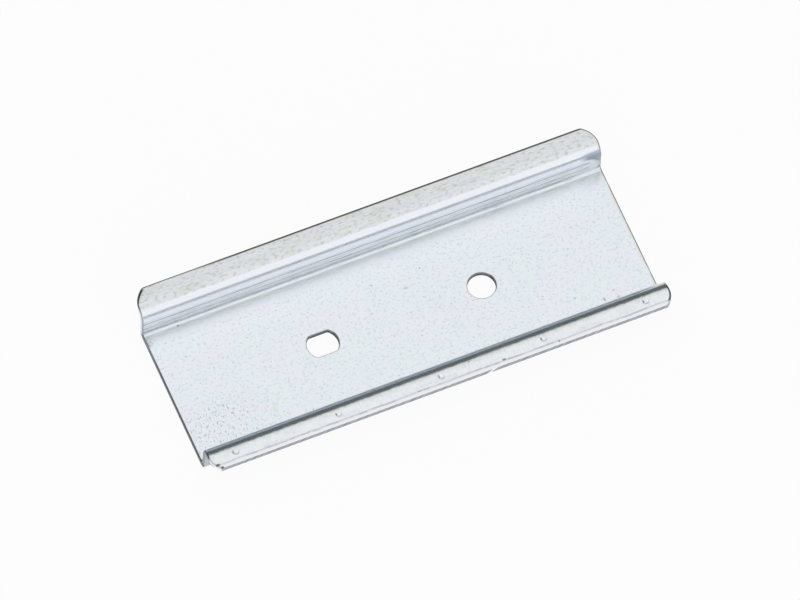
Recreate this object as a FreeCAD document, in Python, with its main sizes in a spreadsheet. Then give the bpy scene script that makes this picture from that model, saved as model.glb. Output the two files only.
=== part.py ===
import FreeCAD, Part
import math
import os
import Sketcher

# A short piece of 35 mm top-hat mounting rail, 1 mm zinc-coated steel strip, cold
# formed in one piece. It lies on its web, with both lips up.
# X runs along the rail, Y across it towards the back lip, Z up. The origin is the
# middle of the web's underside.

V = FreeCAD.Vector

# Driving dimensions, in millimetres and degrees
SIZES = {
    # Strip and outline
    "rail_length": 81.0,
    "rail_width": 35.0,
    "rail_height": 7.5,
    "sheet": 1.0,
    # Section: a flat web, two walls that spring back a little, two lips
    "channel_width": 25.0,
    "wall_lean": 1.0,
    "base_bend_radius": 0.6,
    "lip_bend_radius": 1.3,
    # Sheared long edge of the front lip, rolled down towards its cut face
    "front_roll_width": 0.7,
    "front_roll_depth": 0.2,
    # Lip corners cropped by an arc that is tangent to the rail's end
    "back_crop_radius": 4.0,
    "back_crop_run": 3.4,
    "front_crop_radius": 2.8,
    "front_crop_run": 2.4,
    # Fixing holes in the web
    "hole_spacing": 28.0,
    "hole_diameter": 4.9,
    "slot_length": 5.5,
    "slot_width": 4.3,
    # Module marks: punched dents on the front lip, as many as stay clear of the ends
    "dent_pitch": 18.0,
    "dent_end_gap": 3.0,
    "dent_diameter": 1.2,
    "dent_depth": 0.35,
    # Roll-over of the sheared rim, on the side the punch came from
    "rim_radius": 0.25,
}

doc = FreeCAD.newDocument("din_rail")
sheet = doc.addObject("Spreadsheet::Sheet", "Sizes")
for row, (alias, value) in enumerate(SIZES.items(), start=1):
    sheet.set(f"A{row}", alias)
    sheet.set(f"B{row}", str(value))
    sheet.setAlias(f"B{row}", alias)
doc.recompute()

body = doc.addObject("PartDesign::Body", "rail")
body.Label = "rail"


def size(alias):
    """A driving dimension, read back from the sheet."""
    return float(sheet.get(alias))


def origin_plane(role):
    """One of the body's own origin planes, such as XY_Plane."""
    return next(f for f in body.Origin.OriginFeatures if f.Role == role)


def new_sketch(name, role):
    """An empty sketch on an origin plane of the body."""
    sketch = body.newObject("Sketcher::SketchObject", name)
    sketch.AttachmentSupport = [(origin_plane(role), "")]
    sketch.MapMode = "FlatFace"
    return sketch


def line(sketch, start, end):
    """Add a straight stretch between two points of a sketch."""
    return sketch.addGeometry(Part.LineSegment(V(*start, 0), V(*end, 0)), False)


def arc(sketch, centre, radius, first, last):
    """Add an arc that runs anticlockwise between two angles in degrees."""
    circle = Part.Circle(V(*centre, 0), V(0, 0, 1), radius)
    turned = Part.ArcOfCircle(circle, math.radians(first), math.radians(last))
    return sketch.addGeometry(turned, False)


def tie(sketch, *terms, to=None, name=None):
    """Add one constraint; `to` binds its size to an expression of the sheet's cells."""
    index = sketch.addConstraint(Sketcher.Constraint(*terms))
    if to is not None:
        sketch.renameConstraint(index, name)
        sketch.setExpression(f"Constraints.{name}", to)
    return index


def finish_sketch(sketch):
    """Solve a sketch and insist that nothing in it is left free."""
    doc.recompute()
    if sketch.solve() != 0 or not sketch.FullyConstrained:
        raise RuntimeError(f"{sketch.Name} is not fully constrained")


# Which end of a line or arc a constraint takes, and the sketch's own axes and origin
START, END, CENTRE = 1, 2, 3
AXIS_ACROSS, AXIS_UP = -1, -2
ORIGIN = (AXIS_ACROSS, START)


def section_side(sketch, name, side):
    """Draw one half of the section: side is 1 for the back and -1 for the front.

    Returns the two ends that meet the web, on its underside and its upper face, and
    the pieces of outline that bound the sheet's upper face.
    """
    lean = math.radians(size("wall_lean"))
    thick = size("sheet")
    base_in = size("base_bend_radius")
    base_out = base_in + thick
    lip_in = size("lip_bend_radius")
    lip_out = lip_in + thick
    top = size("rail_height")
    edge = size("rail_width") / 2
    base = (size("channel_width") / 2 - base_in, base_out)
    rise = (top - lip_out - base_out + (base_in + lip_out) * math.sin(lean)) / math.cos(lean)
    lip = (base[0] + (base_in + lip_out) * math.cos(lean) + rise * math.sin(lean),
           top - lip_out)

    def at(y, z):
        return (side * y, z)

    def off_wall(centre, radius):
        """Where an arc about this centre meets the wall."""
        return at(centre[0] + radius * math.cos(lean), centre[1] - radius * math.sin(lean))

    def bend(centre, radius, first, last):
        """An arc given on the back side, turned over for the front."""
        if side < 0:
            first, last = 180 - last, 180 - first
        return arc(sketch, at(*centre), radius, first, last)

    # On the back side each bend starts at the web or lip and ends at the wall
    flat_end, wall_end = (START, END) if side > 0 else (END, START)
    lean_degrees = size("wall_lean")
    base_upper = bend(base, base_in, -90, -lean_degrees)
    base_under = bend(base, base_out, -90, -lean_degrees)
    lip_upper = bend(lip, lip_out, 90, 180 - lean_degrees)
    lip_under = bend(lip, lip_in, 90, 180 - lean_degrees)
    wall_upper = line(sketch, off_wall(base, base_in), off_wall(lip, -lip_out))
    wall_under = line(sketch, off_wall(base, base_out), off_wall(lip, -lip_in))
    lip_top = line(sketch, at(lip[0], top), at(edge, top))
    lip_edge = line(sketch, at(edge, top), at(edge, top - thick))
    lip_bottom = line(sketch, at(edge, top - thick), at(lip[0], top - thick))

    for upper, under in ((base_upper, base_under), (lip_upper, lip_under)):
        tie(sketch, "Coincident", upper, CENTRE, under, CENTRE)
    for wall, low, high in ((wall_upper, base_upper, lip_upper), (wall_under, base_under, lip_under)):
        tie(sketch, "Tangent", low, wall_end, wall, START)
        tie(sketch, "Tangent", wall, END, high, wall_end)
    tie(sketch, "Tangent", lip_upper, flat_end, lip_top, START)
    tie(sketch, "Tangent", lip_under, flat_end, lip_bottom, END)
    tie(sketch, "Horizontal", lip_top)
    tie(sketch, "Horizontal", lip_bottom)
    tie(sketch, "Vertical", lip_edge)
    tie(sketch, "Coincident", lip_top, END, lip_edge, START)
    tie(sketch, "Coincident", lip_edge, END, lip_bottom, START)

    tie(sketch, "Radius", base_upper, base_in, to="Sizes.base_bend_radius", name=f"{name}_base_bend")
    tie(sketch, "Radius", lip_under, lip_in, to="Sizes.lip_bend_radius", name=f"{name}_lip_bend")
    tie(sketch, "DistanceY", lip_bottom, END, lip_top, START, thick,
        to="Sizes.sheet", name=f"{name}_lip_sheet")
    tie(sketch, "DistanceY", *ORIGIN, lip_top, START, top,
        to="Sizes.rail_height", name=f"{name}_height")
    tie(sketch, "Distance", lip_edge, END, AXIS_UP, edge,
        to="Sizes.rail_width / 2", name=f"{name}_half_width")
    tie(sketch, "Distance", base_upper, CENTRE, AXIS_UP, base[0],
        to="Sizes.channel_width / 2 - Sizes.base_bend_radius", name=f"{name}_bend_place")
    # An angle turns anticlockwise from its first line to its second
    turned = (wall_upper, START, AXIS_UP, START) if side > 0 else (AXIS_UP, START, wall_upper, START)
    tie(sketch, "Angle", *turned, lean, to="Sizes.wall_lean", name=f"{name}_lean")
    # Read only: where the lip's flat begins
    flat_start = tie(sketch, "Distance", lip_top, START, AXIS_UP, lip[0])
    sketch.setDriving(flat_start, False)
    sketch.renameConstraint(flat_start, f"{name}_flat_start")
    return (base_under, flat_end), (base_upper, flat_end), [base_upper, wall_upper, lip_upper, lip_top]


def draw_section():
    """The whole section of the strip, and the outline of its upper face alone."""
    sketch = new_sketch("Section", "YZ_Plane")
    back_under, back_upper, back_outline = section_side(sketch, "back", 1)
    front_under, front_upper, front_outline = section_side(sketch, "front", -1)
    reach = size("channel_width") / 2 - size("base_bend_radius")
    web_under = line(sketch, (-reach, 0), (reach, 0))
    web_upper = line(sketch, (-reach, size("sheet")), (reach, size("sheet")))
    for web, front, back in ((web_under, front_under, back_under), (web_upper, front_upper, back_upper)):
        tie(sketch, "Tangent", web, START, *front)
        tie(sketch, "Tangent", web, END, *back)
    tie(sketch, "PointOnObject", web_under, START, AXIS_ACROSS)
    tie(sketch, "Horizontal", web_under)
    tie(sketch, "Horizontal", web_upper)
    tie(sketch, "DistanceY", web_under, START, web_upper, START, size("sheet"),
        to="Sizes.sheet", name="web_sheet")
    finish_sketch(sketch)
    outline = [sketch.Geometry[n].toShape() for n in back_outline + front_outline + [web_upper]]
    return sketch, Part.makeCompound(outline)


def corner_crop(sketch, name, end, side, radius, run):
    """One lip corner to crop: an arc tangent to the rail's end, outside it the waste."""
    name = f"{name}_{'right' if end > 0 else 'left'}"
    at_end = end * size("rail_length") / 2
    at_edge = side * size("rail_width") / 2
    big, deep = size(radius), size(run)
    centre = (at_end - end * big, at_edge - side * deep)
    swing = math.degrees(math.asin(deep / big))
    toward_end = 0 if end > 0 else 180
    toward_edge = toward_end + end * side * swing
    cut = arc(sketch, centre, big, min(toward_end, toward_edge), max(toward_end, toward_edge))
    on_end, on_edge = (START, END) if end * side > 0 else (END, START)
    meets = centre[0] + end * big * math.cos(math.radians(swing))
    along_edge = line(sketch, (meets, at_edge), (at_end, at_edge))
    along_end = line(sketch, (at_end, at_edge), (at_end, centre[1]))
    tie(sketch, "Coincident", cut, on_edge, along_edge, START)
    tie(sketch, "Coincident", along_edge, END, along_end, START)
    tie(sketch, "Tangent", cut, on_end, along_end, END)
    tie(sketch, "Horizontal", along_edge)
    tie(sketch, "Vertical", along_end)
    tie(sketch, "Radius", cut, big, to=f"Sizes.{radius}", name=f"{name}_radius")
    tie(sketch, "Distance", along_end, START, AXIS_UP, abs(at_end),
        to="Sizes.rail_length / 2", name=f"{name}_end")
    tie(sketch, "Distance", along_edge, START, AXIS_ACROSS, abs(at_edge),
        to="Sizes.rail_width / 2", name=f"{name}_edge")
    tie(sketch, "Distance", along_end, END, AXIS_ACROSS, abs(centre[1]),
        to=f"Sizes.rail_width / 2 - Sizes.{run}", name=f"{name}_run")


def insist_it_cuts(feature):
    """Stop if a feature takes nothing off the solid that it starts from."""
    doc.recompute()
    removed = feature.BaseFeature.Shape.Volume - feature.Shape.Volume
    if removed <= 0:
        raise RuntimeError(f"{feature.Name} cuts nothing")
    print(f"{feature.Name}: {removed:.3f} mm3 removed")


def cut_through(sketch, name):
    """Cut a sketch's outline right through the piece, both ways from its plane."""
    pocket = body.newObject("PartDesign::Pocket", name)
    pocket.Profile = sketch
    pocket.Type = "ThroughAll"
    pocket.Midplane = True
    insist_it_cuts(pocket)


# Strip, as long as the rail
strip = body.newObject("PartDesign::Pad", "Strip")
strip.Profile, upper_outline = draw_section()
strip.Midplane = True
strip.setExpression("Length", "Sizes.rail_length")
doc.recompute()

# Corners of the lips
corners = new_sketch("LipCorners", "XY_Plane")
for end in (1, -1):
    corner_crop(corners, "back", end, 1, "back_crop_radius", "back_crop_run")
    corner_crop(corners, "front", end, -1, "front_crop_radius", "front_crop_run")
finish_sketch(corners)
cut_through(corners, "CropCorners")

# Round fixing hole, to the right, and the two-flat slot, to the left
holes = new_sketch("FixingHoles", "XY_Plane")
half_spacing = size("hole_spacing") / 2
round_hole = holes.addGeometry(
    Part.Circle(V(half_spacing, 0, 0), V(0, 0, 1), size("hole_diameter") / 2), False)
tie(holes, "PointOnObject", round_hole, CENTRE, AXIS_ACROSS)
tie(holes, "Distance", round_hole, CENTRE, AXIS_UP, half_spacing,
    to="Sizes.hole_spacing / 2", name="round_hole_place")
tie(holes, "Diameter", round_hole, size("hole_diameter"),
    to="Sizes.hole_diameter", name="round_hole_diameter")
slot_radius = size("slot_length") / 2
flat = size("slot_width") / 2
swing = math.degrees(math.asin(flat / slot_radius))
slot_middle = (-half_spacing, 0)
right_arc = arc(holes, slot_middle, slot_radius, -swing, swing)
left_arc = arc(holes, slot_middle, slot_radius, 180 - swing, 180 + swing)
reach = slot_radius * math.cos(math.radians(swing))
back_flat = line(holes, (-half_spacing + reach, flat), (-half_spacing - reach, flat))
front_flat = line(holes, (-half_spacing - reach, -flat), (-half_spacing + reach, -flat))
tie(holes, "Coincident", right_arc, END, back_flat, START)
tie(holes, "Coincident", back_flat, END, left_arc, START)
tie(holes, "Coincident", left_arc, END, front_flat, START)
tie(holes, "Coincident", front_flat, END, right_arc, START)
tie(holes, "Coincident", right_arc, CENTRE, left_arc, CENTRE)
tie(holes, "Equal", right_arc, left_arc)
tie(holes, "PointOnObject", right_arc, CENTRE, AXIS_ACROSS)
tie(holes, "Horizontal", back_flat)
tie(holes, "Horizontal", front_flat)
tie(holes, "Distance", right_arc, CENTRE, AXIS_UP, half_spacing,
    to="Sizes.hole_spacing / 2", name="slot_place")
tie(holes, "Radius", right_arc, slot_radius, to="Sizes.slot_length / 2", name="slot_radius")
tie(holes, "Distance", back_flat, START, AXIS_ACROSS, flat,
    to="Sizes.slot_width / 2", name="back_flat_place")
tie(holes, "Distance", front_flat, START, AXIS_ACROSS, flat,
    to="Sizes.slot_width / 2", name="front_flat_place")
finish_sketch(holes)
cut_through(holes, "PunchHoles")

# Module marks on the front lip: the dent of a ball-nosed punch, repeated along the rail
each_way = "floor((Sizes.rail_length / 2 - Sizes.dent_end_gap) / Sizes.dent_pitch)"
deep = size("dent_depth")
ball = ((size("dent_diameter") / 2) ** 2 + deep**2) / (2 * deep)
nose = new_sketch("PunchNose", "XZ_Plane")
nose.setExpression("AttachmentOffset.Base.x", f"-{each_way} * Sizes.dent_pitch")
nose.setExpression("AttachmentOffset.Base.y", "Sizes.rail_height")
# The dents lie midway on the lip's flat, between its bend and its rolled edge
nose.setExpression(
    "AttachmentOffset.Base.z",
    "(Section.Constraints.front_flat_start + (Sizes.rail_width / 2 - Sizes.front_roll_width) * 1 mm) / 2")
round_nose = arc(nose, (0, ball - deep), ball, -90, 0)
across = line(nose, (ball, ball - deep), (0, ball - deep))
spine = line(nose, (0, ball - deep), (0, -deep))
tie(nose, "Coincident", round_nose, END, across, START)
tie(nose, "Coincident", across, END, spine, START)
tie(nose, "Coincident", spine, END, round_nose, START)
tie(nose, "Coincident", round_nose, CENTRE, spine, START)
tie(nose, "Horizontal", across)
tie(nose, "PointOnObject", spine, START, AXIS_UP)
tie(nose, "PointOnObject", spine, END, AXIS_UP)
tie(nose, "Radius", round_nose, ball, name="ball",
    to="((Sizes.dent_diameter / 2) ^ 2 + Sizes.dent_depth ^ 2) / (2 * Sizes.dent_depth)")
tie(nose, "DistanceY", spine, END, *ORIGIN, deep, to="Sizes.dent_depth", name="depth")
finish_sketch(nose)
dent = body.newObject("PartDesign::Groove", "Dent")
dent.Profile = nose
dent.ReferenceAxis = (nose, ["V_Axis"])
dent.Angle = 360
insist_it_cuts(dent)
row = body.newObject("PartDesign::LinearPattern", "DentRow")
row.Originals = [dent]
row.Direction = (origin_plane("X_Axis"), [""])
row.Mode = "Spacing"
row.setExpression("Occurrences", f"2 * {each_way} + 1")
row.setExpression("Offset", "Sizes.dent_pitch")
body.Tip = row
doc.recompute()
if row.Occurrences > 1:
    insist_it_cuts(row)


def on_upper_rim(edge):
    """Whether an edge bounds the sheet's upper face at an end, a crop or the back edge."""
    near = 1e-4
    if edge.isClosed():
        return False
    middle = edge.valueAt((edge.FirstParameter + edge.LastParameter) / 2)
    if Part.Vertex(V(middle.y, middle.z, 0)).distToShape(upper_outline)[0] > near:
        return False
    box = edge.BoundBox
    if box.YLength < near and box.ZLength < near:
        return abs(middle.y - size("rail_width") / 2) < near
    at_end = abs(abs(middle.x) - size("rail_length") / 2) < near
    in_crop = abs(middle.y) > size("channel_width") / 2
    return at_end or in_crop


# Rounded rim of the upper face
rim_edges = [f"Edge{n}" for n, edge in enumerate(body.Shape.Edges, start=1) if on_upper_rim(edge)]
print(len(rim_edges), "rim edges")
carrier = body.Tip
rim = body.newObject("PartDesign::Fillet", "RoundRim")
rim.Base = (carrier, rim_edges)
rim.setExpression("Radius", "Sizes.rim_radius")
insist_it_cuts(rim)

# Sheared front edge, rolled down
half_width = size("rail_width") / 2
top = size("rail_height")
roll, drop = size("front_roll_width"), size("front_roll_depth")
rolled = new_sketch("FrontEdge", "YZ_Plane")
slope = line(rolled, (-half_width + roll, top), (-half_width, top - drop))
outer = line(rolled, (-half_width, top - drop), (-half_width, top))
across = line(rolled, (-half_width, top), (-half_width + roll, top))
tie(rolled, "Coincident", slope, END, outer, START)
tie(rolled, "Coincident", outer, END, across, START)
tie(rolled, "Coincident", across, END, slope, START)
tie(rolled, "Vertical", outer)
tie(rolled, "Horizontal", across)
tie(rolled, "DistanceX", across, START, across, END, roll,
    to="Sizes.front_roll_width", name="roll_width")
tie(rolled, "DistanceY", outer, START, outer, END, drop,
    to="Sizes.front_roll_depth", name="roll_depth")
tie(rolled, "Distance", across, START, AXIS_ACROSS, top, to="Sizes.rail_height", name="height")
tie(rolled, "Distance", outer, END, AXIS_UP, half_width, to="Sizes.rail_width / 2", name="half_width")
finish_sketch(rolled)
cut_through(rolled, "RollFrontEdge")

# Every object sound, one valid solid, then the file
for item in doc.Objects:
    if "Invalid" in item.State or "Error" in item.State:
        raise RuntimeError(f"{item.Name}: {item.State}")
shape = body.Shape
if shape.isNull() or not shape.isValid() or len(shape.Solids) != 1:
    raise RuntimeError("the rail is not one valid solid")
print(f"{body.Label}: {shape.Volume:.2f} mm3, box {shape.BoundBox}")

os.makedirs("parts", exist_ok=True)
shape.exportStep(f"parts/{body.Label}.step")
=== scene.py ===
# %% [markdown]
# # A short length of 35 mm mounting rail
#
# This lesson dresses one piece of zinc-coated steel rail. The rail is a single strip of
# 1 mm sheet: sheared from coil, punched, then bent into a shallow hat whose two lips hold
# whatever is clipped on. Metal like this has no colour of its own to speak of. What the
# eye reads is its edges, its bends and what they mirror, so most of the work is in the
# shape of the sheet, and the rest in a satin zinc finish and a calm studio.

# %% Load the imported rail
import math
import random

import bpy
import numpy as np
from mathutils import Matrix, Vector


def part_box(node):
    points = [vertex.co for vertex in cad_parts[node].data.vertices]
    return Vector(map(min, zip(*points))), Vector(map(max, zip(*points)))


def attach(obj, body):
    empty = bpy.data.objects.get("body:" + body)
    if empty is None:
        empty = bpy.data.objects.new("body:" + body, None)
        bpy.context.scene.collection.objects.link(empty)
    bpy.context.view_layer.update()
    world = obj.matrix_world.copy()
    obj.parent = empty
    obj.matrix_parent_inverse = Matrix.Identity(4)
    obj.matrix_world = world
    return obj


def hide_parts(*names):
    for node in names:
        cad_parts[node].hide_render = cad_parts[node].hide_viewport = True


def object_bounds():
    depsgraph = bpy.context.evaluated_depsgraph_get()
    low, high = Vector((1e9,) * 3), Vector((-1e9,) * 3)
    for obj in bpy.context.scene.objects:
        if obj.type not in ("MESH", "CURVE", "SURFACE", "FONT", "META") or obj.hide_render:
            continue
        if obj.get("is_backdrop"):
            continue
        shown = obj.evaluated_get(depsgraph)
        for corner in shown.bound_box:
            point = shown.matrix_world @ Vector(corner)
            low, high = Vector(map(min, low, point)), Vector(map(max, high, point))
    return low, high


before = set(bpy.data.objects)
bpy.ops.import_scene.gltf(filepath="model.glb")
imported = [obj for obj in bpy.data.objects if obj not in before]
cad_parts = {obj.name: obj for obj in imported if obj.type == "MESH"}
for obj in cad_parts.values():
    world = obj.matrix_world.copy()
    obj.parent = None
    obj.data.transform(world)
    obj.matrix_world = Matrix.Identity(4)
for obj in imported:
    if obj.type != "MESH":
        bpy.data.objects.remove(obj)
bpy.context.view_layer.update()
MM = 0.001
low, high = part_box("rail")
rail_length, rail_width, rail_height = ((high - low) / MM)
print(f"rail {rail_length:.2f} x {rail_width:.2f} x {rail_height:.2f} mm")

# %% [markdown]
# ## The sizes of the strip
#
# Length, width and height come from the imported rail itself. The rest are the sizes a
# toolmaker would write on the drawing, in millimetres: how thick the sheet is, how far
# the walls spring back, how tight the bends are and how the lip corners are cropped.

# %% Sizes of the strip
sheet = 1.0
channel_width = 25.0
wall_lean = math.radians(1.0)
base_bend_radius = 0.6
lip_bend_radius = 1.3
front_spring = 0.27        # how much further out the front wall sprang back at its top
crop = {"back": (4.0, 3.4), "front": (2.8, 2.4)}  # radius, and run in from the long edge
half_length, half_width = rail_length / 2, rail_width / 2

# How far each wall is turned up, and the radii of the bends at the middle of the sheet
fold_angle = math.pi / 2 - wall_lean
base_radius = base_bend_radius + sheet / 2
lip_radius = lip_bend_radius + sheet / 2

# Stations along the sheet from the middle of the web: bend, wall, bend, lip, edge
bends_rise = (base_radius + lip_radius) * (1 - math.cos(fold_angle))
wall_run = (rail_height - sheet - bends_rise) / math.sin(fold_angle)
web_end = channel_width / 2 - base_bend_radius
wall_start = web_end + base_radius * fold_angle
wall_end = wall_start + wall_run
lip_start = wall_end + lip_radius * fold_angle
lip_start_y = (web_end + (base_radius + lip_radius) * math.sin(fold_angle)
               + wall_run * math.cos(fold_angle))
edge = lip_start + half_width - lip_start_y
print(f"flat blank {2 * edge:.2f} mm wide, wall {wall_run:.2f} mm, lip {edge - lip_start:.2f} mm")

# %% [markdown]
# ## Folding the blank
#
# Sheet metal is made flat and bent afterwards, and the mesh can be made the same way.
# Every point is placed on the flat blank first: how far along the rail, how far across
# the sheet, and how deep below its upper face. One function then folds the blank. It
# keeps the sheet's thickness true round each bend, and marks drawn on the flat blank,
# such as forming scratches, follow the bends by themselves.

# %% Fold a point of the blank
def fold(across, depth):
    """Height and place across the rail of points on the blank, once it is bent."""
    run = np.abs(across)
    turned_up = (np.clip(run, web_end, wall_start) - web_end) / base_radius
    turned_down = (np.clip(run, wall_end, lip_start) - wall_end) / lip_radius
    turn = turned_up - turned_down
    climbed = np.clip(run, wall_start, wall_end) - wall_start
    sprung = np.minimum((run - wall_start) / (lip_start - wall_start), (edge - run) / (edge - lip_start))
    y = (np.where(across < 0, front_spring, 0.0) * np.clip(sprung, 0, 1)
         + np.minimum(run, web_end) + base_radius * np.sin(turned_up)
         + climbed * math.cos(fold_angle)
         + lip_radius * (math.sin(fold_angle) - np.sin(fold_angle - turned_down))
         + np.maximum(run - lip_start, 0))
    z = (sheet / 2 + base_radius * (1 - np.cos(turned_up)) + climbed * math.sin(fold_angle)
         + lip_radius * (np.cos(fold_angle - turned_down) - math.cos(fold_angle)))
    above = sheet / 2 - depth
    return np.sign(across) * (y - above * np.sin(turn)), z + above * np.cos(turn)


lip_y, lip_z = fold(np.array([edge, -edge]), np.array([0.0, 0.0]))
print("edges of the lips at y", lip_y.round(3), "z", lip_z.round(3))

# %% [markdown]
# ## The outline of the blank
#
# The lip corners are cropped by arcs that are tangent to the rail's end, so the corner
# rounds off on one side and leaves a visible point where the arc meets the long edge.
# Two questions come up again and again while the surface is shaped: where does the end
# lie at this place across the sheet, and how far is a point from it?

# %% Outline of the blank
def crop_of(across):
    """Crop radius and run on the side of the rail where each point lies."""
    back, front = crop["back"], crop["front"]
    return tuple(np.where(across > 0, back[n], front[n]) for n in (0, 1))


def end_reach(across):
    """How far from the middle the rail's end lies at each place across the sheet."""
    radius, run = crop_of(across)
    y, _ = fold(across, 0.0 * across)
    into = np.maximum(np.abs(y) - (half_width - run), 0)
    return half_length - radius + np.sqrt(radius**2 - into**2)


def gap_to_end(along, across):
    """Distance from each point to the nearest end of the rail, cropped corners included."""
    radius, run = crop_of(across)
    y, _ = fold(across, 0.0 * across)
    past_x = np.abs(along) - (half_length - radius)
    past_y = np.abs(y) - (half_width - run)
    straight = half_length - np.abs(along)
    return np.where((past_x > 0) & (past_y > 0), radius - np.hypot(past_x, past_y), straight)


back_lip_end, front_lip_end = end_reach(np.array([edge, -edge]))
print(f"back lip ends at {back_lip_end:.2f}, front at {front_lip_end:.2f}")

# %% [markdown]
# ## What the tools left on the upper face
#
# A shear rolls the sheet over before it cuts, so the rim is rounded on the side the
# blade came from. It drew the sheet in further at the back left corner. The bending tools
# rubbed faint ridges into the back wall. The front edge was sheared last, and sank as a
# whole over a narrow facet with a wavering crease behind it. In one place a flake of zinc
# was smeared down over the cut. All of these are one number here: how deep the upper face
# lies below its nominal height.

# %% Relief of the upper face
rim_roll = 0.25            # sheared rim, rounded over
corner_roll = 0.6          # the same at the back left corner
facet_width = 0.72         # how far in from the front edge the sheet sank
facet_drop = 0.3
crease_width, crease_depth = 0.06, 0.03
flake_place, flake_reach, flake_drop = 8.9, 0.6, 0.04
ridges_stop, ridges_fade = 1.6, 1.2  # in from the right end, and the length they fade over
far_off = 9.0              # stands for any distance at which a rim has no effect

# Waves of the crease: length, phase and height
chance = random.Random(35)
crease_waves = [(chance.uniform(2.5, 9.0), chance.uniform(0, math.tau),
                 chance.uniform(0.015, 0.04)) for _ in range(7)]


def rolled(gap, radius):
    """Depth of a rounded rim at a distance from the rim."""
    inside = np.clip(radius - gap, 0, radius)
    return radius - np.sqrt(radius**2 - inside**2)


def bell(value, centre, width):
    """A smooth hump, 1 at its centre."""
    return np.exp(-((value - centre) / width) ** 2)


def crease_place(along):
    """How far in from the front edge the crease runs: it wavers by about a tenth of a millimetre."""
    return facet_width + sum(size * np.sin(math.tau * along / length + phase)
                             for length, phase, size in crease_waves)


def edge_sink(along, across):
    """How far the whole sheet sank at the front edge, its under face included."""
    return facet_drop * np.clip(1 - (across + edge) / crease_place(along), 0, 1)


# Ridges on the back wall: how far up the wall, how wide and how high, in millimetres
wall_ridges = [(2.9, 0.2, 0.02), (2.2, 0.14, 0.012), (1.4, 0.2, 0.015), (0.5, 0.14, 0.012)]


def wall_relief(along, across):
    """Forming ridges on the back wall. They fade out before the rail's right end."""
    fade = np.clip((half_length - ridges_stop - along) / ridges_fade, 0, 1)
    raised = sum(height * bell(across - wall_start, up, width) for up, width, height in wall_ridges)
    return -raised * fade * fade * (3 - 2 * fade)


def roll_at(along, across):
    """Radius of the rolled rim: larger where the back left corner was cropped."""
    _, run = crop_of(across)
    y, _ = fold(across, 0.0 * across)
    through = np.clip((np.abs(y) - (half_width - run)) / run, 0, 1)
    lens = np.sin(math.pi * through**1.8) * (across > 0) * (along < 0)
    return rim_roll + (corner_roll - rim_roll) * lens


def upper_relief(along, across):
    """Depth of the upper face below its nominal height, everywhere on the blank."""
    depth = rolled(gap_to_end(along, across), roll_at(along, across))
    depth = depth + rolled(np.where(across > 0, edge - across, far_off), rim_roll)
    from_front = across + edge
    depth = depth + edge_sink(along, across)
    depth = depth + crease_depth * bell(from_front, crease_place(along), crease_width)
    flake = bell(along, flake_place, flake_reach) * np.clip(1 - from_front / facet_width, 0, 1)
    return depth + flake_drop * flake + wall_relief(along, across)


crease_samples = crease_place(np.linspace(-half_length, half_length, 5))
print("crease runs", crease_samples.round(2), "mm inside the front edge")

# %% [markdown]
# ## The lines of the mesh
#
# A regular grid would waste points on the flat web and starve the bends. So the grid
# lines are set out like a draughtsman's construction lines: fixed ones where something
# happens, such as a bend or the rim of a punch mark, and evenly spaced ones in between.

# %% Construction lines
hole_x, slot_x = 14.0, -14.0
punch_roll = 0.1           # the rolled rim of a punched hole, inside the hole's nominal size
hole_radius, slot_radius, slot_flat = 2.45 - punch_roll, 2.75 - punch_roll, 2.15 - punch_roll
hole_square = 3.6          # half the side of the square of the grid that a hole takes up
dent_pitch, dents_each_way, dent_radius, dent_depth = 18.0, 2, 0.6, 0.37
dent_square = 0.74
dent_across = -(edge - 2.0)
dent_places = [n * dent_pitch for n in range(-dents_each_way, dents_each_way + 1)]
rim_rows = [0.0, 0.02, 0.06, 0.11, 0.17, 0.25, 0.4, 0.75]


def set_out(stations):
    """Lines at every station, and evenly between them: stations hold (place, spacing after it)."""
    lines = [stations[0][0]]
    for (start, spacing), (stop, _) in zip(stations, stations[1:]):
        steps = max(1, math.ceil((stop - start) / spacing - 1e-6))
        lines += [start + (stop - start) * n / steps for n in range(1, steps + 1)]
    return np.array(lines)


along_spacing = 0.55
right_rim = [half_length - gap for gap in reversed(rim_rows)]
fixed = [-x for x in reversed(right_rim)] + right_rim
for centre in (hole_x, slot_x):
    fixed += [centre - hole_square, centre + hole_square]
fixed += [flake_place + step for step in (-1.3, -0.9, -0.45, 0.0, 0.45, 0.9, 1.3)]
for place in dent_places:
    fixed += [place - dent_square, place - dent_square / 2, place, place + dent_square / 2,
              place + dent_square]
along_lines = set_out([(place, along_spacing) for place in sorted(fixed)])

front = [(-edge, 0.06), (-edge + 0.12, 0.12), (-edge + 0.48, 0.045), (-edge + 0.93, 0.2),
         (dent_across - dent_square, 0.2), (dent_across + dent_square, 0.12), (-wall_end, 0.6),
         (-wall_start, 0.2), (-web_end, 0.7), (-hole_square, 0.45)]
back = [(hole_square, 0.7), (web_end, 0.1), (wall_start, 0.08), (wall_end, 0.14),
        (lip_start, 0.3)] + [(edge - gap, 1.0) for gap in reversed(rim_rows)]
across_lines = set_out(front + back)
print(len(along_lines), "lines along,", len(across_lines), "lines across")

# %% [markdown]
# ## Skin, holes and dents
#
# The grid gives the upper and the under skin. Round holes don't fit a square grid, so a
# square of it is left out and filled with rings that start on the square and end on the
# punched rim. The same rings make the centre-punch dents. This keeps every edge of a
# hole smooth and every face a tidy quad.

# %% Skins of the sheet
points, faces, kinds = [], [], []
SKIN, END_CUT, LONG_CUT = 0, 1, 2  # numbers of the materials


def add_points(along, across, depth):
    """Add points of the blank and return their numbers."""
    first = len(points)
    points.extend(zip(along, across, depth))
    return np.arange(first, len(points))


def add_quads(a, b, c, d, kind):
    """Add faces from four rows of point numbers, turned so that they face outwards."""
    faces.extend(tuple(int(n) for n in corners) for corners in zip(a, b, c, d))
    kinds.extend(np.broadcast_to(kind, len(a)).tolist())


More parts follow.
